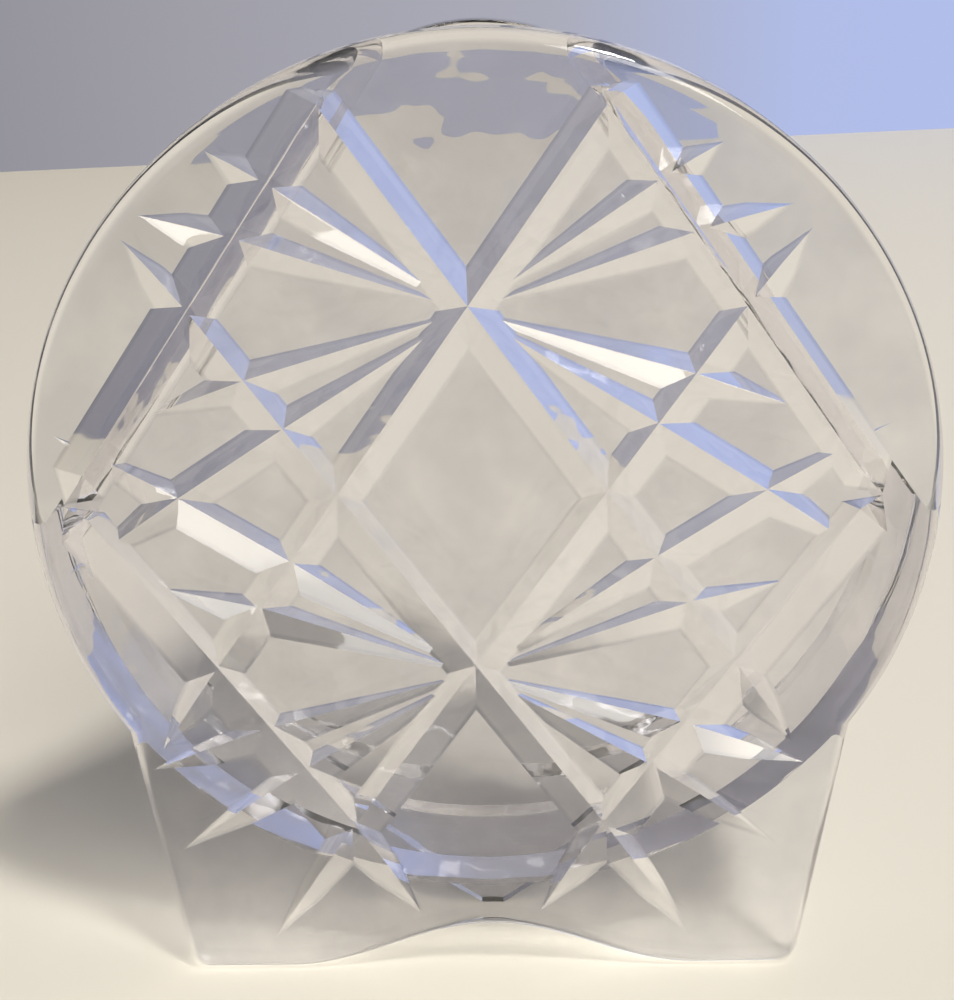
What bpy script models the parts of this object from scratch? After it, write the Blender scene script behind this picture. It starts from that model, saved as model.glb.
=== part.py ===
"""Cut crystal pocket vase: a round cut panel on a tapered foot, with a narrow-mouthed reservoir behind it.

X runs to the right, Y away from the viewer and Z up. The origin is on the table, under the middle of the disc
and half-way through the depth of the vase.
"""

from math import acos, atan2, cos, hypot, pi, radians, sin, sqrt, tan

import bmesh
import bpy
from mathutils import Matrix, Vector

MM = 0.001

# Overall sizes, in millimetres.
DISC_RADIUS = 55.0
DISC_LIFT = 11.5
FOOT_INSET = 14.5
FOOT_TAPER_DEG = 8.3
FOOT_CORNER = 2.6
FOOT_FLAT = 13.5
ARCH_RISE = 6.4

# Thicknesses through the depth, and the bond gap left between two pieces.
FRONT_THICK = 5.0
POCKET_DEPTH = 12.0
BACK_THICK = 4.4
BOND_GAP = 0.3

# The reservoir: its wall, its shoulders outside the long cuts, its lip under the rim, and the ground heel.
WALL_THICK = 4.3
SHOULDER_OUT = 2.4
LIP_DROP = 0.4
HEEL_WIDTH = 3.0
FACET_DEPTH = 2.4
FACET_WIDTH = 10.0

# Polished edges.
RIM_ROUND = 2.3
BACK_ROUND = 1.0
EDGE_STEPS = 3

# The cut pattern: a diamond lattice with a star above and below its middle. It was cut a little off the
# middle of the disc.
PATTERN_SHIFT = -1.4
PATTERN_RISE = 0.9
SIDE_MARGIN = 6.1
LOW_RAY_DEG = 17.6
HIGH_RAY_DEG = 33.0
LEAF_MARGIN = 4.2
HIGH_LEAF_TIP = 2.2
LOW_LEAF_HIGH_RAY = 20.0
LOW_LEAF_LOW_RAY = 16.0
LOW_LEAF_LATTICE = 13.0
LOW_LEAF_STEM = 20.5
LOW_LEAF_LONG = 15.0
SHORT_RAY_END = 41.0
RAY_START = 1.2
RAY_START_HALF = 0.45
RAY_HALF = 3.1
LATTICE_CUT_HALF = 3.3
LONG_CUT_HALF = 3.8
CUT_STEP = 0.06
TIP_HALF = 0.12
LEAF_BELLY = 0.68
CUT_SLOPE = 0.72
CUT_LIFT = 0.2

DISC_STEPS = 96
ARC_STEPS = 16
LIP_STEPS = 12
SHARP_DEG = 30.0

DEPTH = FRONT_THICK + POCKET_DEPTH + BACK_THICK + 2 * BOND_GAP
FRONT_FACE = -DEPTH / 2
WALL_FRONT = FRONT_FACE + FRONT_THICK + BOND_GAP
BACK_FRONT = WALL_FRONT + POCKET_DEPTH + BOND_GAP
BACK_FACE = BACK_FRONT + BACK_THICK

DISC_HEIGHT = DISC_RADIUS + DISC_LIFT
TABLE = -DISC_HEIGHT
FOOT_HALF = DISC_RADIUS - FOOT_INSET

# The lattice is three diamonds wide and two high, and its six corners lie on one circle, which gives its slope.
SIDE_VERTEX = DISC_RADIUS - SIDE_MARGIN
LATTICE_SLOPE = sqrt(2)
LATTICE_HALF = SIDE_VERTEX / 3
LATTICE_RISE = LATTICE_HALF * LATTICE_SLOPE
LEAF_RADIUS = DISC_RADIUS - LEAF_MARGIN

# The shoulders run beside the long cuts, and the lip is the round that touches both of them.
SHOULDER_TILT = atan2(1, LATTICE_SLOPE)
SHOULDER_DISTANCE = SIDE_VERTEX * cos(SHOULDER_TILT) + SHOULDER_OUT
LIP_TOP = DISC_RADIUS - LIP_DROP
LIP_CENTRE = (LIP_TOP - SHOULDER_DISTANCE) / (1 - sin(SHOULDER_TILT))
LIP_RADIUS = LIP_TOP - LIP_CENTRE

# The sides of the heel run down from the disc to a point on the table.
HEEL_TURN = acos(DISC_RADIUS / hypot(DISC_HEIGHT, HEEL_WIDTH / 2)) - atan2(DISC_HEIGHT, HEEL_WIDTH / 2)


def arc(cx, cz, radius, start, stop, steps):
    """Points of an arc from one angle to another, both ends included."""
    turns = [start + (stop - start) * i / steps for i in range(steps + 1)]
    return [(cx + radius * cos(a), cz + radius * sin(a)) for a in turns]


def mirrored(right_half):
    """A closed outline from its right half, which runs from the bottom of the middle line to the top."""
    left_half = [(-x, z) for x, z in reversed(right_half) if abs(x) > 1e-6]
    return right_half + left_half


def plate_outline():
    """The front panel: arch, foot with rounded corner, tapered side and disc."""
    arch = []
    for i in range(ARC_STEPS + 1):
        part_way = i / ARC_STEPS
        height = ARCH_RISE * (1 + cos(pi * part_way)) / 2
        arch.append((part_way * (FOOT_HALF - FOOT_FLAT), TABLE + height))

    taper = radians(FOOT_TAPER_DEG)
    corner_x = FOOT_HALF - FOOT_CORNER / tan((pi / 2 + taper) / 2)
    corner = arc(corner_x, TABLE + FOOT_CORNER, FOOT_CORNER, -pi / 2, -taper, 4)

    # The side leans out from the foot's bottom corner until it meets the disc.
    reach = FOOT_HALF * cos(taper) - TABLE * sin(taper)
    join = -acos(reach / DISC_RADIUS) - taper
    disc = arc(0, 0, DISC_RADIUS, join, pi / 2, DISC_STEPS // 2)
    return mirrored(arch + corner + disc)


def shoulder_turn(radius, inset):
    """The angle at which a shoulder, moved in by an inset, leaves a circle round the middle of the disc."""
    return SHOULDER_TILT - acos((SHOULDER_DISTANCE - inset) / radius)


def wall_outline():
    """The reservoir wall: a band round the lower disc and up both shoulders, open at the mouth."""
    outer = arc(0, 0, DISC_RADIUS, -pi / 2, shoulder_turn(DISC_RADIUS, 0), DISC_STEPS // 2)
    mouth = SHOULDER_TILT + acos((LIP_RADIUS - WALL_THICK) / LIP_RADIUS)
    outer += arc(0, LIP_CENTRE, LIP_RADIUS, SHOULDER_TILT, mouth, LIP_STEPS)
    bore = DISC_RADIUS - WALL_THICK
    inner = arc(0, 0, bore, shoulder_turn(bore, WALL_THICK), -pi / 2, DISC_STEPS // 2)
    right = outer + inner
    left = [(-x, z) for x, z in reversed(right)]
    return right[1:] + left[1:]


def back_outline():
    """The back plate: the outside of the reservoir, closed at the top, with a heel down to the table."""
    right = [(0, TABLE), (HEEL_WIDTH / 2, TABLE)]
    right += arc(0, 0, DISC_RADIUS, HEEL_TURN, shoulder_turn(DISC_RADIUS, 0), DISC_STEPS // 2)
    right += arc(0, LIP_CENTRE, LIP_RADIUS, SHOULDER_TILT, pi / 2, LIP_STEPS)
    return mirrored(right)


def to_rim(x, z, dx, dz, radius):
    """How far a line runs from a point before it reaches a circle round the middle of the disc."""
    half = x * dx + z * dz
    return -half + sqrt(half ** 2 - x ** 2 - z ** 2 + radius ** 2)


def line_cut(x, z, dx, dz, stations):
    """Stations (distance, half-width) along a line as points of a cut."""
    return [(x + t * dx, z + t * dz, half) for t, half in stations]


def leaf(start, tip, half):
    """Stations from the widest place of a leaf to its tip."""
    return [(start, half), ((start + tip) / 2, LEAF_BELLY * half), (tip, TIP_HALF)]


def stepped(half, up, side):
    """A cut's half-width, a little less for each quarter, so that no two valleys cross at one depth."""
    return half - CUT_STEP * ((up < 0) + (side < 0) / 2)


def ray_cuts(up, side):
    """The four rays of one star on one side, each running over the lattice and ending as a leaf."""
    cuts = []
    wide = stepped(RAY_HALF, up, side)
    for turn_deg, low_leaf in ((HIGH_RAY_DEG, LOW_LEAF_HIGH_RAY), (LOW_RAY_DEG, LOW_LEAF_LOW_RAY)):
        turn = radians(turn_deg)
        dx = side * cos(turn)
        star_z = up * LATTICE_RISE
        start = (RAY_START, RAY_START_HALF)

        # Outward: to the long cut, then a leaf past it.
        dz = up * sin(turn)
        cross = (SIDE_VERTEX - LATTICE_HALF) / (cos(turn) + sin(turn) / LATTICE_SLOPE)
        tip = to_rim(0, star_z, dx, dz, LEAF_RADIUS) if up > 0 else cross + low_leaf
        cuts.append(line_cut(0, star_z, dx, dz, [start] + leaf(cross, tip, wide)))

        # Inward: over the other star's lattice line and on across the side diamond.
        dz = -dz
        cross = 2 * LATTICE_RISE / (LATTICE_SLOPE * cos(turn) + sin(turn))
        stations = [start, (cross, wide)]
        if turn_deg == HIGH_RAY_DEG:
            tip = to_rim(0, star_z, dx, dz, LEAF_RADIUS)
            stations += [((cross + tip) / 2, wide), (tip, TIP_HALF)]
        else:
            stations += [(SHORT_RAY_END, TIP_HALF)]
        cuts.append(line_cut(0, star_z, dx, dz, stations))
    return cuts


def lattice_cuts(up, side):
    """One lattice line through a star and the long cut beside it."""
    wide = stepped(LATTICE_CUT_HALF, up, side)
    long_wide = stepped(LONG_CUT_HALF, up, side)
    step = hypot(LATTICE_HALF, LATTICE_RISE)
    dx = side * LATTICE_HALF / step
    dz = up * LATTICE_RISE / step

    # Through the star: from a leaf on the far side, over the star and up to the tip of the lattice.
    star_z = up * LATTICE_RISE
    far = -2 * step
    if up > 0:
        far_leaf = far - LOW_LEAF_LATTICE
        stem = step + HIGH_LEAF_TIP
    else:
        far_leaf = -to_rim(0, star_z, -dx, -dz, LEAF_RADIUS)
        stem = step + LOW_LEAF_STEM
    stations = leaf(far, far_leaf, wide)[::-1] + leaf(step, stem, wide)
    cuts = [line_cut(0, star_z, dx, dz, stations)]

    # The long cut from the side of the disc to the tip of the lattice, and past it on the foot.
    near_end = step / 8
    tip = 2 * step
    end = tip + (HIGH_LEAF_TIP if up > 0 else LOW_LEAF_LONG)
    stations = [(0, TIP_HALF), (near_end, long_wide)] + leaf(tip, end, long_wide)
    cuts.append(line_cut(side * SIDE_VERTEX, 0, -dx, dz, stations))
    return cuts


def panel_cuts():
    """All cuts of the front panel."""
    cuts = []
    for up in (1, -1):
        for side in (1, -1):
            cuts += ray_cuts(up, side)
            cuts += lattice_cuts(up, side)
    return [[(x + PATTERN_SHIFT, z + PATTERN_RISE, half) for x, z, half in cut] for cut in cuts]


def clear_scene():
    """Start from nothing."""
    for item in list(bpy.data.objects):
        bpy.data.objects.remove(item, do_unlink=True)


def group(name):
    """A collection in the scene."""
    made = bpy.data.collections.new(name)
    bpy.context.scene.collection.children.link(made)
    return made


def as_solid(curve, name, depth, home):
    """A flat or swept curve as a mesh object that stands upright, at a depth along Y."""
    draft = bpy.data.objects.new(name + "_draft", curve)
    bpy.context.scene.collection.objects.link(draft)
    graph = bpy.context.evaluated_depsgraph_get()
    mesh = bpy.data.meshes.new_from_object(draft.evaluated_get(graph))
    bpy.data.objects.remove(draft, do_unlink=True)
    mesh.name = name
    mesh.transform(Matrix.Translation((0, depth * MM, DISC_HEIGHT * MM)) @ Matrix.Rotation(pi / 2, 4, "X"))
    work = bmesh.new()
    work.from_mesh(mesh)
    bmesh.ops.remove_doubles(work, verts=work.verts, dist=0.000001)
    bmesh.ops.recalc_face_normals(work, faces=work.faces)
    for edge in work.edges:
        edge.smooth = edge.calc_face_angle(0) < radians(SHARP_DEG)
    work.to_mesh(mesh)
    work.free()
    solid = bpy.data.objects.new(name, mesh)
    home.objects.link(solid)
    return solid


def slab(name, outline, near, far, home):
    """An upright plate with an outline, between two depths."""
    curve = bpy.data.curves.new(name, "CURVE")
    curve.dimensions = "2D"
    curve.fill_mode = "BOTH"
    curve.extrude = (far - near) / 2 * MM
    spline = curve.splines.new("POLY")
    spline.points.add(len(outline) - 1)
    for point, (x, z) in zip(spline.points, outline):
        point.co = (x * MM, z * MM, 0, 1)
    spline.use_cyclic_u = True
    return as_solid(curve, name, (near + far) / 2, home)


def cutter(name, cuts, depth, home):
    """Mitre cuts as one cutter: a diamond profile swept along each cut, wider or narrower with it."""
    profile = bpy.data.curves.new(name + "_profile", "CURVE")
    profile.dimensions = "2D"
    corners = profile.splines.new("POLY")
    corners.points.add(3)
    for point, (x, y) in zip(corners.points, ((1, 0), (0, CUT_SLOPE), (-1, 0), (0, -CUT_SLOPE))):
        point.co = (x * MM, y * MM, 0, 1)
    corners.use_cyclic_u = True
    shape = bpy.data.objects.new(name + "_profile", profile)
    bpy.context.scene.collection.objects.link(shape)

    curve = bpy.data.curves.new(name, "CURVE")
    curve.dimensions = "3D"
    curve.twist_mode = "Z_UP"
    curve.bevel_mode = "OBJECT"
    curve.bevel_object = shape
    curve.use_fill_caps = True
    for cut in cuts:
        spline = curve.splines.new("POLY")
        spline.use_smooth = False
        spline.points.add(len(cut) - 1)
        for point, (x, z, half) in zip(spline.points, cut):
            point.co = (x * MM, z * MM, 0, 1)
            point.radius = half
    made = as_solid(curve, name, depth, home)
    bpy.data.objects.remove(shape, do_unlink=True)
    made.hide_render = True
    made.display_type = "WIRE"
    return made


def facet_tool(name, side, home):
    """A block that grinds one side of the heel to a slope, from its edge up to the back face."""
    slope = atan2(FACET_DEPTH, FACET_WIDTH)
    edge = Vector((side * HEEL_WIDTH / 2, BACK_FACE - FACET_DEPTH, 0)) * MM
    away = Vector((side * cos(HEEL_TURN) * sin(slope), cos(slope), sin(HEEL_TURN) * sin(slope)))
    size = 2 * DISC_RADIUS * MM
    work = bmesh.new()
    bmesh.ops.create_cube(work, size=size)
    turn = away.to_track_quat("Z", "Y").to_matrix().to_4x4()
    work.transform(Matrix.Translation(edge + away * size / 2) @ turn)
    mesh = bpy.data.meshes.new(name)
    work.to_mesh(mesh)
    work.free()
    block = bpy.data.objects.new(name, mesh)
    home.objects.link(block)
    block.hide_render = True
    block.display_type = "WIRE"
    return block


def round_edge(solid, depth, width):
    """Round the outline edge of a plate at one of its faces."""
    work = bmesh.new()
    work.from_mesh(solid.data)
    weight = work.edges.layers.float.new("bevel_weight_edge")
    for edge in work.edges:
        at_face = all(abs(v.co.y - depth * MM) < 0.00001 for v in edge.verts)
        if at_face and edge.calc_face_angle(0) > radians(45):
            edge[weight] = 1
    work.to_mesh(solid.data)
    work.free()
    bevel = solid.modifiers.new("polished_edge", "BEVEL")
    bevel.limit_method = "WEIGHT"
    bevel.width = width * MM
    bevel.segments = EDGE_STEPS


def engrave(solid, tool):
    """Take a cutter out of a plate."""
    cut = solid.modifiers.new("cuts", "BOOLEAN")
    cut.operation = "DIFFERENCE"
    cut.solver = "EXACT"
    cut.use_self = True
    cut.object = tool


def glass(name, tint):
    """A clear glass material."""
    material = bpy.data.materials.new(name)
    material.use_nodes = True
    shader = material.node_tree.nodes["Principled BSDF"]
    shader.inputs["Base Color"].default_value = (*tint, 1)
    shader.inputs["Roughness"].default_value = 0.03
    shader.inputs["IOR"].default_value = 1.54
    shader.inputs["Transmission Weight"].default_value = 1
    return material


def finish(solid, material):
    """Give a piece its material and shade its outline smooth."""
    solid.data.materials.append(material)
    for face in solid.data.polygons:
        face.use_smooth = abs(face.normal.y) < 0.5


clear_scene()
pieces = group("cut_crystal_pocket_vase")
tools = group("cutters")

front_plate = slab("front_plate", plate_outline(), FRONT_FACE, FRONT_FACE + FRONT_THICK, pieces)
round_edge(front_plate, FRONT_FACE, RIM_ROUND)
engrave(front_plate, cutter("panel_cuts", panel_cuts(), FRONT_FACE - CUT_LIFT, tools))
finish(front_plate, glass("front_crystal", (0.97, 0.98, 1.0)))

reservoir_wall = slab("reservoir_wall", wall_outline(), WALL_FRONT, WALL_FRONT + POCKET_DEPTH, pieces)
finish(reservoir_wall, glass("wall_crystal", (0.96, 0.97, 0.99)))

back_plate = slab("back_plate", back_outline(), BACK_FRONT, BACK_FACE, pieces)
round_edge(back_plate, BACK_FACE, BACK_ROUND)
engrave(back_plate, facet_tool("left_facet", -1, tools))
engrave(back_plate, facet_tool("right_facet", 1, tools))
finish(back_plate, glass("back_crystal", (0.97, 0.98, 0.99)))
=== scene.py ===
from math import acos, atan2, cos, hypot, pi, radians, sin, sqrt, tan

import bmesh
import bpy
from mathutils import Matrix, Vector


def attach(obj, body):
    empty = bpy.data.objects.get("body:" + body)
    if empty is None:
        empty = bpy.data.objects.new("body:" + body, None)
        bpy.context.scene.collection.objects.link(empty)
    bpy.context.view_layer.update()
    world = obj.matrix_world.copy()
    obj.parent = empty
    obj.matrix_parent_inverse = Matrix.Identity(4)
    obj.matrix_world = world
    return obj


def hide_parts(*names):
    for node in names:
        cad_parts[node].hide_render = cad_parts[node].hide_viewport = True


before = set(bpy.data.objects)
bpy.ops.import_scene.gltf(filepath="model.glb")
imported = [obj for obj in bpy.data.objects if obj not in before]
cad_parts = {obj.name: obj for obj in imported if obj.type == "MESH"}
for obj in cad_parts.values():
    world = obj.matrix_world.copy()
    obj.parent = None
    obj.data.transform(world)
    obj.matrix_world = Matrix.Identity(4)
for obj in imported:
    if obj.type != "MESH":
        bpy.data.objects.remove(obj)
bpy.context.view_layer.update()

# The vase's sizes, in metres.
MM = 0.001
DISC_RADIUS = 55.0 * MM
DISC_HEIGHT = 66.5 * MM
FOOT_HALF = 40.5 * MM
FOOT_TAPER = radians(8.3)
FOOT_TOP = 40.0 * MM
FOOT_CORNER = 2.6 * MM
ARCH_HALF = 27.0 * MM
ARCH_RISE = 6.4 * MM
FRONT_FACE = -11.0 * MM
FRONT_BACK = -6.0 * MM
BOND_LAP = 0.02 * MM
WALL_FRONT = FRONT_BACK - BOND_LAP
WALL_BACK = 6.6 * MM + BOND_LAP
BACK_FRONT = 6.6 * MM
BACK_FACE = 11.0 * MM
WALL_THICK = 4.3 * MM
SHOULDER_OUT = 2.4 * MM
LIP_DROP = 0.4 * MM
HEEL_HALF = 1.5 * MM
FACET_DEPTH = 2.4 * MM
FACET_WIDTH = 10.0 * MM
RIM_ROUND = 2.3 * MM
BACK_ROUND = 1.0 * MM

# The cut pattern, measured from the middle of the disc.
PATTERN_SHIFT = -1.4 * MM
PATTERN_RISE = 0.9 * MM
SIDE_VERTEX = DISC_RADIUS - 6.1 * MM
LATTICE_SLOPE = sqrt(2)
LATTICE_HALF = SIDE_VERTEX / 3
LATTICE_RISE = LATTICE_HALF * LATTICE_SLOPE
LATTICE_STEP = hypot(LATTICE_HALF, LATTICE_RISE)
LOW_RAY = radians(17.6)
HIGH_RAY = radians(33.0)
LEAF_RADIUS = DISC_RADIUS - 4.2 * MM
HIGH_LEAF_TIP = 2.2 * MM
LOW_LEAF_HIGH_RAY = 20.0 * MM
LOW_LEAF_LOW_RAY = 16.0 * MM
LOW_LEAF_LATTICE = 13.0 * MM
LOW_LEAF_STEM = 20.5 * MM
LOW_LEAF_LONG = 15.0 * MM
SHORT_RAY_END = 41.0 * MM
RAY_START = 1.2 * MM
RAY_START_HALF = 0.45 * MM
RAY_HALF = 3.1 * MM
LATTICE_CUT_HALF = 3.3 * MM
LONG_CUT_HALF = 3.8 * MM
CUT_STEP = 0.06 * MM
TIP_HALF = 0.12 * MM
LEAF_BELLY = 0.68
CUT_SLOPE = 0.72
CUT_LIFT = 0.2 * MM

# How finely round shapes are drawn, and how near counts as touching.
ROUND_SIDES = 256
ARCH_CUTS = 80
CORNER_STEPS = 8
RIM_STEPS = 8
BACK_STEPS = 6
SMOOTH_BELOW = radians(14)
SHARP_ABOVE = radians(45)
TOUCH = 0.01 * MM
MERGE_REACH = 0.002 * MM
FLAT_MERGE_REACH = 0.25 * MM
CUT_PAST = 1.0 * MM


def rest():
    """Leave edit mode and let go of everything."""
    if bpy.context.object and bpy.context.object.mode != "OBJECT":
        bpy.ops.object.mode_set(mode="OBJECT")
    bpy.ops.object.select_all(action="DESELECT")


def hold(piece):
    """Make a piece the only one in hand."""
    rest()
    piece.select_set(True)
    bpy.context.view_layer.objects.active = piece


def settle(name):
    """Name the new primitive and put its place into its mesh."""
    piece = bpy.context.object
    piece.name = name
    bpy.ops.object.transform_apply(location=True, rotation=True, scale=True)
    return piece


def pick(piece, kind, test):
    """Go into edit mode with the vertices, edges or faces that pass a test selected."""
    hold(piece)
    bpy.ops.object.mode_set(mode="EDIT")
    bpy.ops.mesh.select_mode(type=kind)
    bpy.ops.mesh.select_all(action="DESELECT")
    work = bmesh.from_edit_mesh(piece.data)
    group = {"VERT": work.verts, "EDGE": work.edges, "FACE": work.faces}[kind]
    for item in group:
        if test(item):
            item.select_set(True)
    bmesh.update_edit_mesh(piece.data)


def apply(piece, modifier):
    """Apply a modifier."""
    hold(piece)
    bpy.ops.object.modifier_apply(modifier=modifier.name)


def combine(piece, tool, operation):
    """Join a tool to a piece or cut it out of it, and throw the tool away."""
    change = piece.modifiers.new("combine", "BOOLEAN")
    change.operation = operation
    change.solver = "EXACT"
    change.use_self = True
    change.object = tool
    apply(piece, change)
    bpy.data.objects.remove(tool, do_unlink=True)


def clean(piece, reach=MERGE_REACH):
    """Merge doubles, dissolve slivers and turn the faces outwards."""
    hold(piece)
    bpy.ops.object.mode_set(mode="EDIT")
    bpy.ops.mesh.select_all(action="SELECT")
    bpy.ops.mesh.remove_doubles(threshold=reach)
    bpy.ops.mesh.dissolve_degenerate(threshold=MERGE_REACH)
    bpy.ops.mesh.normals_make_consistent(inside=False)
    rest()


def join_flat(piece, near, far):
    """Make each flat face of a plate one whole face, so that its outline can be rounded."""
    clean(piece, FLAT_MERGE_REACH)
    for depth in (near, far):
        pick(piece, "FACE", lambda f: all(abs(v.co.y - depth) < TOUCH for v in f.verts))
        bpy.ops.mesh.dissolve_faces(use_verts=True)
    rest()


def add_disc(name, radius, near, far, rise=0):
    """An upright disc between two depths."""
    rest()
    bpy.ops.mesh.primitive_cylinder_add(
        vertices=ROUND_SIDES, radius=radius, depth=far - near, end_fill_type="NGON",
        location=(0, (near + far) / 2, DISC_HEIGHT + rise), rotation=(pi / 2, 0, 0))
    return settle(name)


def add_block(name, low_half, high_half, low, high, near, far):
    """An upright block between two depths, with one half-width at the bottom and another at the top."""
    rest()
    middle = (0, (near + far) / 2, (low + high) / 2)
    bpy.ops.mesh.primitive_cube_add(size=1, location=middle, scale=(2 * low_half, far - near, high - low))
    block = settle(name)
    pick(block, "VERT", lambda v: v.co.z > (low + high) / 2)
    bpy.ops.transform.resize(value=(high_half / low_half, 1, 1), center_override=(0, 0, high))
    rest()
    return block


def keep_below(piece, point, normal):
    """Cut a piece with a plane and keep the side that the normal points away from."""
    pick(piece, "FACE", lambda f: True)
    bpy.ops.mesh.bisect(plane_co=point, plane_no=normal, use_fill=True, clear_outer=True)
    rest()


def round_edges(piece, test, width, steps):
    """Round the edges that pass a test."""
    pick(piece, "EDGE", test)
    bpy.ops.mesh.bevel(offset=width, segments=steps, profile=0.5, affect="EDGES", clamp_overlap=True)
    rest()


def at_depth(edge, depth):
    """True for a sharp edge that lies in a plane of one depth."""
    level = all(abs(v.co.y - depth) < TOUCH for v in edge.verts)
    return level and edge.calc_face_angle(0) > SHARP_ABOVE


# The shoulders run outside the long cuts, and a round lip joins them.
SHOULDER_TILT = atan2(1, LATTICE_SLOPE)
SHOULDER_REACH = SIDE_VERTEX + SHOULDER_OUT / cos(SHOULDER_TILT)
LIP_TOP = DISC_RADIUS - LIP_DROP
LIP_CENTRE = (LIP_TOP - SHOULDER_REACH * cos(SHOULDER_TILT)) / (1 - sin(SHOULDER_TILT))
LIP_RADIUS = LIP_TOP - LIP_CENTRE


def between_shoulders(piece, inset):
    """Trim a piece to what lies between the two shoulder lines, moved in."""
    for side in (1, -1):
        normal = Vector((side * cos(SHOULDER_TILT), 0, sin(SHOULDER_TILT)))
        point = Vector((side * SHOULDER_REACH, 0, DISC_HEIGHT)) - inset * normal
        keep_below(piece, point, normal)


def reservoir_body(name, near, far):
    """The outside of the reservoir: a disc trimmed to the straight shoulders, with a round lip on top."""
    body = add_disc(name, DISC_RADIUS, near, far)
    between_shoulders(body, 0)
    keep_below(body, (0, 0, DISC_HEIGHT + LIP_CENTRE + LIP_RADIUS * sin(SHOULDER_TILT)), (0, 0, 1))
    combine(body, add_disc("lip", LIP_RADIUS, near, far, LIP_CENTRE), "UNION")
    return body


def line_cut(x, z, dx, dz, stations):
    """Stations (distance, half-width) along a line as points of a cut."""
    return [(x + t * dx, z + t * dz, half) for t, half in stations]


def leaf(start, tip, half):
    """Stations from the widest place of a leaf to its tip."""
    return [(start, half), ((start + tip) / 2, LEAF_BELLY * half), (tip, TIP_HALF)]


def stepped(half, up, side):
    """A cut's half-width, a little less for each quarter of the panel, as cut by hand."""
    return half - CUT_STEP * ((up < 0) + (side < 0) / 2)


def to_rim(x, z, dx, dz, radius):
    """How far a line runs from a point before it reaches a circle round the middle of the disc."""
    half = x * dx + z * dz
    return -half + sqrt(half ** 2 - x ** 2 - z ** 2 + radius ** 2)


def ray_cuts(up, side):
    """The rays of one star on one side: two outward and two inward, each ending as a leaf."""
    cuts = []
    wide = stepped(RAY_HALF, up, side)
    star_z = up * LATTICE_RISE
    start = (RAY_START, RAY_START_HALF)
    for turn, low_leaf in ((HIGH_RAY, LOW_LEAF_HIGH_RAY), (LOW_RAY, LOW_LEAF_LOW_RAY)):
        dx = side * cos(turn)
        dz = up * sin(turn)
        cross = (SIDE_VERTEX - LATTICE_HALF) / (cos(turn) + sin(turn) / LATTICE_SLOPE)
        tip = to_rim(0, star_z, dx, dz, LEAF_RADIUS) if up > 0 else cross + low_leaf
        cuts.append(line_cut(0, star_z, dx, dz, [start] + leaf(cross, tip, wide)))

        cross = 2 * LATTICE_RISE / (LATTICE_SLOPE * cos(turn) + sin(turn))
        stations = [start, (cross, wide)]
        if turn == HIGH_RAY:
            tip = to_rim(0, star_z, dx, -dz, LEAF_RADIUS)
            stations += [((cross + tip) / 2, wide), (tip, TIP_HALF)]
        else:
            stations += [(SHORT_RAY_END, TIP_HALF)]
        cuts.append(line_cut(0, star_z, dx, -dz, stations))
    return cuts


def lattice_cuts(up, side):
    """One lattice line through a star, and the long cut beside it."""
    wide = stepped(LATTICE_CUT_HALF, up, side)
    long_wide = stepped(LONG_CUT_HALF, up, side)
    dx = side * LATTICE_HALF / LATTICE_STEP
    dz = up * LATTICE_RISE / LATTICE_STEP
    star_z = up * LATTICE_RISE
    far = -2 * LATTICE_STEP
    if up > 0:
        far_leaf = far - LOW_LEAF_LATTICE
        stem = LATTICE_STEP + HIGH_LEAF_TIP
        end = 2 * LATTICE_STEP + HIGH_LEAF_TIP
    else:
        far_leaf = -to_rim(0, star_z, -dx, -dz, LEAF_RADIUS)
        stem = LATTICE_STEP + LOW_LEAF_STEM
        end = 2 * LATTICE_STEP + LOW_LEAF_LONG
    through = leaf(far, far_leaf, wide)[::-1] + leaf(LATTICE_STEP, stem, wide)
    beside = [(0, TIP_HALF), (LATTICE_STEP / 8, long_wide)] + leaf(2 * LATTICE_STEP, end, long_wide)
    return [line_cut(0, star_z, dx, dz, through), line_cut(side * SIDE_VERTEX, 0, -dx, dz, beside)]


def panel_cuts():
    """All cuts of the front panel."""
    cuts = []
    for up in (1, -1):
        for side in (1, -1):
            cuts += ray_cuts(up, side) + lattice_cuts(up, side)
    return [[(x + PATTERN_SHIFT, z + PATTERN_RISE, half) for x, z, half in cut] for cut in cuts]


def add_cutter(name, cuts, depth):
    """Mitre cuts as one tool: for each, a diamond drawn out along the cut and made wider or narrower."""
    rest()
    tool = None
    for cut in cuts:
        x, z, half = cut[0]
        dx = cut[-1][0] - x
        dz = cut[-1][1] - z
        place = (x, depth, DISC_HEIGHT + z)
        bpy.ops.mesh.primitive_circle_add(
            vertices=4, radius=half, fill_type="NGON", location=place, rotation=(0, atan2(dx, dz), 0))
        if tool is None:
            tool = settle(name)
            bpy.ops.object.mode_set(mode="EDIT")
            bpy.ops.mesh.select_mode(type="FACE")
            bpy.ops.mesh.select_all(action="SELECT")
        bpy.ops.transform.resize(value=(1, CUT_SLOPE, 1), center_override=place)
        for (x0, z0, half0), (x1, z1, half1) in zip(cut, cut[1:]):
            bpy.ops.mesh.extrude_region_move(TRANSFORM_OT_translate={"value": (x1 - x0, 0, z1 - z0)})
            bpy.ops.transform.resize(
                value=(half1 / half0,) * 3, center_override=(x1, depth, DISC_HEIGHT + z1))
    bpy.ops.mesh.select_all(action="SELECT")
    bpy.ops.mesh.normals_make_consistent(inside=False)
    rest()
    return tool


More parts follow.
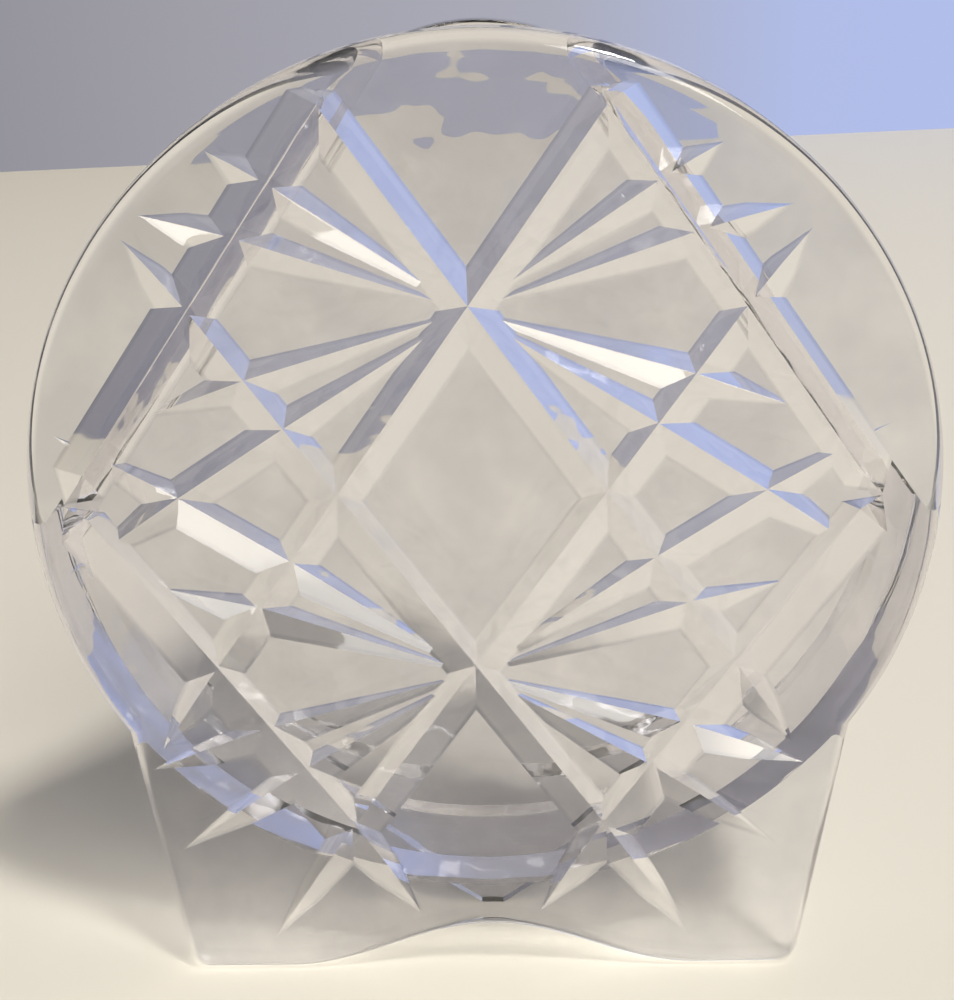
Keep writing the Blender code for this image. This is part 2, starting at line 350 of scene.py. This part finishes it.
def add_foot():
    """The tapered foot of the front panel with its arch and rounded corners."""
    foot = add_block(
        "foot", FOOT_HALF, FOOT_HALF + FOOT_TOP * tan(FOOT_TAPER), 0, FOOT_TOP, FRONT_FACE, FRONT_BACK)

    def along_bottom(edge):
        ends = [v.co for v in edge.verts]
        return all(abs(p.z) < TOUCH for p in ends) and abs(ends[0].x - ends[1].x) > MM

    pick(foot, "EDGE", along_bottom)
    bpy.ops.mesh.subdivide(number_cuts=ARCH_CUTS)
    work = bmesh.from_edit_mesh(foot.data)
    for v in work.verts:
        if abs(v.co.z) < TOUCH and abs(v.co.x) < ARCH_HALF:
            v.co.z = ARCH_RISE * (1 + cos(pi * v.co.x / ARCH_HALF)) / 2
    bmesh.update_edit_mesh(foot.data)
    rest()

    def across_flat_end(edge):
        ends = [v.co for v in edge.verts]
        flat = all(abs(p.z) < TOUCH and ARCH_HALF < abs(p.x) < FOOT_HALF - 0.5 * MM for p in ends)
        return flat and abs(ends[0].x - ends[1].x) < TOUCH

    pick(foot, "EDGE", across_flat_end)
    bpy.ops.mesh.dissolve_edges(use_verts=True)
    rest()

    def at_corner(edge):
        return all(abs(v.co.z) < TOUCH and abs(abs(v.co.x) - FOOT_HALF) < TOUCH for v in edge.verts)

    round_edges(foot, at_corner, FOOT_CORNER, CORNER_STEPS)
    return foot


def front_panel():
    """The front panel: disc and foot in one, with a round front edge and the cut pattern."""
    panel = add_disc("front_panel", DISC_RADIUS, FRONT_FACE, FRONT_BACK)
    combine(panel, add_foot(), "UNION")
    join_flat(panel, FRONT_FACE, FRONT_BACK)
    round_edges(panel, lambda e: at_depth(e, FRONT_FACE), RIM_ROUND, RIM_STEPS)
    combine(panel, add_cutter("panel_cuts", panel_cuts(), FRONT_FACE - CUT_LIFT), "DIFFERENCE")
    clean(panel)
    return panel


def reservoir_wall():
    """The band of glass round the reservoir, open at the mouth."""
    wall = reservoir_body("reservoir_wall_band", WALL_FRONT, WALL_BACK)
    near = WALL_FRONT - CUT_PAST
    far = WALL_BACK + CUT_PAST
    hollow = add_disc("hollow", DISC_RADIUS - WALL_THICK, near, far)
    between_shoulders(hollow, WALL_THICK)
    combine(wall, hollow, "DIFFERENCE")
    mouth = add_disc("mouth", DISC_RADIUS + 5 * MM, near, far)
    keep_below(mouth, (0, 0, DISC_HEIGHT + DISC_RADIUS / 2), (0, 0, -1))
    between_shoulders(mouth, WALL_THICK)
    combine(wall, mouth, "DIFFERENCE")
    clean(wall)
    return wall


def back_plate():
    """The back of the reservoir with its pointed heel, ground to two facets."""
    plate = reservoir_body("back_plate_heel", BACK_FRONT, BACK_FACE)
    slant = acos(DISC_RADIUS / hypot(DISC_HEIGHT, HEEL_HALF)) - atan2(DISC_HEIGHT, HEEL_HALF)
    heel = add_block(
        "heel", HEEL_HALF, DISC_RADIUS * cos(slant), 0, DISC_HEIGHT + DISC_RADIUS * sin(slant),
        BACK_FRONT, BACK_FACE)
    combine(plate, heel, "UNION")
    join_flat(plate, BACK_FRONT, BACK_FACE)
    round_edges(plate, lambda e: at_depth(e, BACK_FACE), BACK_ROUND, BACK_STEPS)
    facet = atan2(FACET_DEPTH, FACET_WIDTH)
    for side in (1, -1):
        edge = Vector((side * HEEL_HALF, BACK_FACE - FACET_DEPTH, 0))
        normal = Vector((side * cos(slant) * sin(facet), cos(facet), sin(slant) * sin(facet)))
        keep_below(plate, edge, normal)
    clean(plate)
    return plate


def shade(piece):
    """Shade round faces smooth and keep the cut facets crisp."""
    hold(piece)
    bpy.ops.object.shade_smooth_by_angle(angle=SMOOTH_BELOW)
    rest()


def node(tree, kind, **values):
    """A shader node with its sockets set."""
    made = tree.nodes.new(kind)
    for name, value in values.items():
        made.inputs[name.replace("_", " ")].default_value = value
    return made


# The glass: its tints, the painted shade on the front face, and the scale and reach of its waves and
# haze.
GLASS_IOR = 1.52
FRONT_TINT = (0.985, 0.98, 0.985)
# Painted shade: the grey that darkens the flat front face.
PAINTED_SHADE_TINT = (0.62, 0.625, 0.67)
WALL_TINT = (0.93, 0.92, 0.93)
BACK_TINT = (0.96, 0.955, 0.965)
PAINTED_SHADE_START = FRONT_FACE + 0.1 * MM
PAINTED_SHADE_END = FRONT_FACE + 0.4 * MM
SHADE_PATCH_SCALE = 75.0
MOST_UNSHADED = 0.6
SHADOW_CLEAR = 0.60
WAVE_HEIGHT = 2.0 * MM
HAZE_SCALE = 90.0
LEAST_HAZE = 0.004
MOST_HAZE = 0.05


def crystal(name, tint, wave, ripple):
    """Clear polished glass with the faint waves of hand work and a trace of haze."""
    material = bpy.data.materials.new(name)
    material.use_nodes = True
    tree = material.node_tree
    link = tree.links.new
    shader = tree.nodes["Principled BSDF"]
    shader.inputs["Base Color"].default_value = (*tint, 1)
    shader.inputs["IOR"].default_value = GLASS_IOR
    shader.inputs["Transmission Weight"].default_value = 1

    place = tree.nodes.new("ShaderNodeTexCoord")
    waves = node(tree, "ShaderNodeTexNoise", Scale=wave, Detail=2.0, Roughness=0.4)
    lift = node(tree, "ShaderNodeBump", Strength=ripple, Distance=WAVE_HEIGHT)
    haze = node(tree, "ShaderNodeTexNoise", Scale=HAZE_SCALE, Detail=5.0, Roughness=0.6)
    spread = node(
        tree, "ShaderNodeMapRange", From_Min=0.35, From_Max=0.75, To_Min=LEAST_HAZE, To_Max=MOST_HAZE)
    link(place.outputs["Object"], waves.inputs["Vector"])
    link(place.outputs["Object"], haze.inputs["Vector"])
    link(waves.outputs["Fac"], lift.inputs["Height"])
    link(lift.outputs["Normal"], shader.inputs["Normal"])
    link(haze.outputs["Fac"], spread.inputs["Value"])
    link(spread.outputs["Result"], shader.inputs["Roughness"])
    return material


def paint_shade_on_face(material):
    """Paint shade on the flat front face as a grey tint in uneven patches, and leave the cuts clear."""
    tree = material.node_tree
    link = tree.links.new
    place = tree.nodes.new("ShaderNodeTexCoord")
    split = tree.nodes.new("ShaderNodeSeparateXYZ")
    depth = node(tree, "ShaderNodeMapRange", From_Min=PAINTED_SHADE_START, From_Max=PAINTED_SHADE_END)
    shade_patches = node(tree, "ShaderNodeTexNoise", Scale=SHADE_PATCH_SCALE, Detail=4.0, Roughness=0.55)
    unshaded = node(tree, "ShaderNodeMapRange", From_Min=0.42, From_Max=0.72, To_Max=MOST_UNSHADED)
    clearest = tree.nodes.new("ShaderNodeMath")
    clearest.operation = "MAXIMUM"
    painted_shade = tree.nodes.new("ShaderNodeValToRGB")
    painted_shade.color_ramp.elements[0].color = (*PAINTED_SHADE_TINT, 1)
    painted_shade.color_ramp.elements[1].color = (*FRONT_TINT, 1)
    link(place.outputs["Object"], split.inputs["Vector"])
    link(split.outputs["Y"], depth.inputs["Value"])
    link(place.outputs["Object"], shade_patches.inputs["Vector"])
    link(shade_patches.outputs["Fac"], unshaded.inputs["Value"])
    link(depth.outputs["Result"], clearest.inputs[0])
    link(unshaded.outputs["Result"], clearest.inputs[1])
    link(clearest.outputs["Value"], painted_shade.inputs["Fac"])
    link(painted_shade.outputs["Color"], tree.nodes["Principled BSDF"].inputs["Base Color"])


def clear_shadow(material):
    """Let part of the lamp light straight through the glass where it casts a shadow."""
    tree = material.node_tree
    link = tree.links.new
    path = tree.nodes.new("ShaderNodeLightPath")
    clear = node(tree, "ShaderNodeBsdfTransparent", Color=(SHADOW_CLEAR, SHADOW_CLEAR, SHADOW_CLEAR, 1))
    mix = tree.nodes.new("ShaderNodeMixShader")
    link(path.outputs["Is Shadow Ray"], mix.inputs["Fac"])
    link(tree.nodes["Principled BSDF"].outputs["BSDF"], mix.inputs[1])
    link(clear.outputs["BSDF"], mix.inputs[2])
    link(mix.outputs["Shader"], tree.nodes["Material Output"].inputs["Surface"])


def plain(name, colour, roughness):
    """A plain matt material for the stage."""
    material = bpy.data.materials.new(name)
    material.use_nodes = True
    shader = material.node_tree.nodes["Principled BSDF"]
    shader.inputs["Base Color"].default_value = (*colour, 1)
    shader.inputs["Roughness"].default_value = roughness
    shader.inputs["Specular IOR Level"].default_value = 0.2
    return material


def finish_piece(piece, material, node_name):
    """Give a piece its glass and its place in the frame."""
    shade(piece)
    piece.data.materials.clear()
    piece.data.materials.append(material)
    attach(piece, "root")
    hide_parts(node_name)


front_glass = crystal("front_glass", FRONT_TINT, 90.0, 0.04)
# Painted shade: a grey tint on the flat front face makes it darker than the clear cuts.
paint_shade_on_face(front_glass)
clear_shadow(front_glass)
wall_glass = crystal("wall_glass", WALL_TINT, 70.0, 0.15)
back_glass = crystal("back_glass", BACK_TINT, 75.0, 0.42)
finish_piece(front_panel(), front_glass, "front_plate")
finish_piece(reservoir_wall(), wall_glass, "reservoir_wall")
finish_piece(back_plate(), back_glass, "back_plate")

# The stage: a pale floor and a plain wall behind it, whose colour runs from grey to blue; the blue is
# painted light falling on its right side.
STAGE_SIZE = 6
FLOOR_COLOUR = (0.80, 0.755, 0.65)
FLOOR_ROUGHNESS = 0.6
WALL_DISTANCE = 0.722
WALL_TURN = radians(10.3)
WALL_REACH = 0.8
WALL_ROUGHNESS = 0.8
# Lilac-grey is the wall's own colour; the brighter blue towards the right is painted bluish light, and
# the colour grows darker towards both ends.
WALL_AND_LIGHT_STOPS = (
    (0.15, (0.16, 0.155, 0.19)), (0.40, (0.35, 0.345, 0.39)), (0.52, (0.41, 0.415, 0.49)),
    (0.61, (0.44, 0.51, 0.80)), (0.70, (0.44, 0.52, 0.84)), (0.90, (0.40, 0.42, 0.52)))
ROOM_LIGHT = (0.62, 0.62, 0.62)
ROOM_STRENGTH = 0.16
ROOM_SEEN = (0.74, 0.72, 0.71)


def when_seen(tree, lit, seen, output):
    """Show one shader to the eye, in reflections and through glass, and light the stage with another."""
    path = tree.nodes.new("ShaderNodeLightPath")
    direct = tree.nodes.new("ShaderNodeMath")
    direct.operation = "MAXIMUM"
    either = tree.nodes.new("ShaderNodeMath")
    either.operation = "MAXIMUM"
    mix = tree.nodes.new("ShaderNodeMixShader")
    link = tree.links.new
    link(path.outputs["Is Camera Ray"], direct.inputs[0])
    link(path.outputs["Is Glossy Ray"], direct.inputs[1])
    link(direct.outputs["Value"], either.inputs[0])
    link(path.outputs["Is Transmission Ray"], either.inputs[1])
    link(either.outputs["Value"], mix.inputs["Fac"])
    link(lit.outputs[0], mix.inputs[1])
    link(seen.outputs[0], mix.inputs[2])
    link(mix.outputs["Shader"], tree.nodes[output].inputs["Surface"])


def seen_colour(name, stops, reach):
    """A matt wall whose colour runs left to right and shows as written to the eye and through glass."""
    material = bpy.data.materials.new(name)
    material.use_nodes = True
    tree = material.node_tree
    shader = tree.nodes["Principled BSDF"]
    shader.inputs["Roughness"].default_value = WALL_ROUGHNESS
    place = tree.nodes.new("ShaderNodeTexCoord")
    split = tree.nodes.new("ShaderNodeSeparateXYZ")
    run = node(tree, "ShaderNodeMapRange", From_Min=-reach, From_Max=reach)
    ramp = tree.nodes.new("ShaderNodeValToRGB")
    band = ramp.color_ramp
    while len(band.elements) < len(stops):
        band.elements.new(0.5)
    for element, (along, colour) in zip(band.elements, stops):
        element.position = along
        element.color = (*colour, 1)
    glow = tree.nodes.new("ShaderNodeEmission")
    link = tree.links.new
    link(place.outputs["Object"], split.inputs["Vector"])
    link(split.outputs["X"], run.inputs["Value"])
    link(run.outputs["Result"], ramp.inputs["Fac"])
    link(ramp.outputs["Color"], shader.inputs["Base Color"])
    link(ramp.outputs["Color"], glow.inputs["Color"])
    when_seen(tree, shader, glow, "Material Output")
    return material


rest()
bpy.ops.mesh.primitive_plane_add(size=STAGE_SIZE, location=(0, 0, 0))
floor = settle("floor")
floor.data.materials.append(plain("cream_floor", FLOOR_COLOUR, FLOOR_ROUGHNESS))

rest()
bpy.ops.mesh.primitive_plane_add(
    size=STAGE_SIZE, location=(0, WALL_DISTANCE, 0), rotation=(pi / 2, 0, WALL_TURN))
backdrop = settle("backdrop")
backdrop.data.materials.append(seen_colour("lilac_wall_painted_light", WALL_AND_LIGHT_STOPS, WALL_REACH))


def soft_light(name, place, target, width, height, power, colour):
    """A soft box that faces a point."""
    lamp = bpy.data.lights.new(name, "AREA")
    lamp.shape = "RECTANGLE"
    lamp.size = width
    lamp.size_y = height
    lamp.energy = power
    lamp.color = colour
    box = bpy.data.objects.new(name, lamp)
    box.location = place
    box.rotation_euler = (Vector(target) - Vector(place)).to_track_quat("-Z", "Y").to_euler()
    bpy.context.scene.collection.objects.link(box)


KEY_TARGET = (0, 0.12, 0)
VASE_MIDDLE = (0, 0, 0.06)
KEY_COLOUR = (1.0, 0.97, 0.92)
FRONT_COLOUR = (1.0, 0.98, 0.94)
soft_light("key", (0.90, -1.05, 2.50), KEY_TARGET, 0.36, 0.36, 51.0, KEY_COLOUR)
soft_light("front_box", (1.26, -2.02, 2.20), VASE_MIDDLE, 1.20, 1.00, 30.0, FRONT_COLOUR)
soft_light("window", (0.60, -2.30, 1.84), VASE_MIDDLE, 0.28, 0.90, 4.8, FRONT_COLOUR)

world = bpy.data.worlds.new("room")
bpy.context.scene.world = world
world.use_nodes = True
room = world.node_tree.nodes["Background"]
room.inputs["Color"].default_value = (*ROOM_LIGHT, 1)
room.inputs["Strength"].default_value = ROOM_STRENGTH
pale = node(world.node_tree, "ShaderNodeBackground", Color=(*ROOM_SEEN, 1), Strength=1.0)
when_seen(world.node_tree, room, pale, "World Output")

# The camera, fitted to the photograph's view.
CAMERA_PLACE = (2.67 * MM, -190.14 * MM, 135.18 * MM)
CAMERA_YAW = radians(-1.095)
CAMERA_PITCH = radians(20.729)
CAMERA_ROLL = radians(-1.242)
CAMERA_LENS = 57.84
SENSOR_HEIGHT = 36
lens = bpy.data.cameras.new("camera")
lens.sensor_fit = "VERTICAL"
lens.sensor_height = SENSOR_HEIGHT
lens.lens = CAMERA_LENS
lens.clip_start = 0.01
camera = bpy.data.objects.new("camera", lens)
bpy.context.scene.collection.objects.link(camera)
level = cos(CAMERA_PITCH)
forward = Vector((sin(CAMERA_YAW) * level, cos(CAMERA_YAW) * level, -sin(CAMERA_PITCH)))
right = Vector((cos(CAMERA_YAW), -sin(CAMERA_YAW), 0))
above = right.cross(forward)
turned_right = cos(CAMERA_ROLL) * right + sin(CAMERA_ROLL) * above
turned_above = cos(CAMERA_ROLL) * above - sin(CAMERA_ROLL) * right
axes = Matrix((turned_right, turned_above, -forward)).transposed()
camera.rotation_euler = axes.to_euler()
camera.location = CAMERA_PLACE
bpy.context.scene.camera = camera

bpy.context.scene.view_settings.view_transform = "Standard"
cycles = bpy.context.scene.cycles
cycles.max_bounces = 32
cycles.transmission_bounces = 28
cycles.glossy_bounces = 8
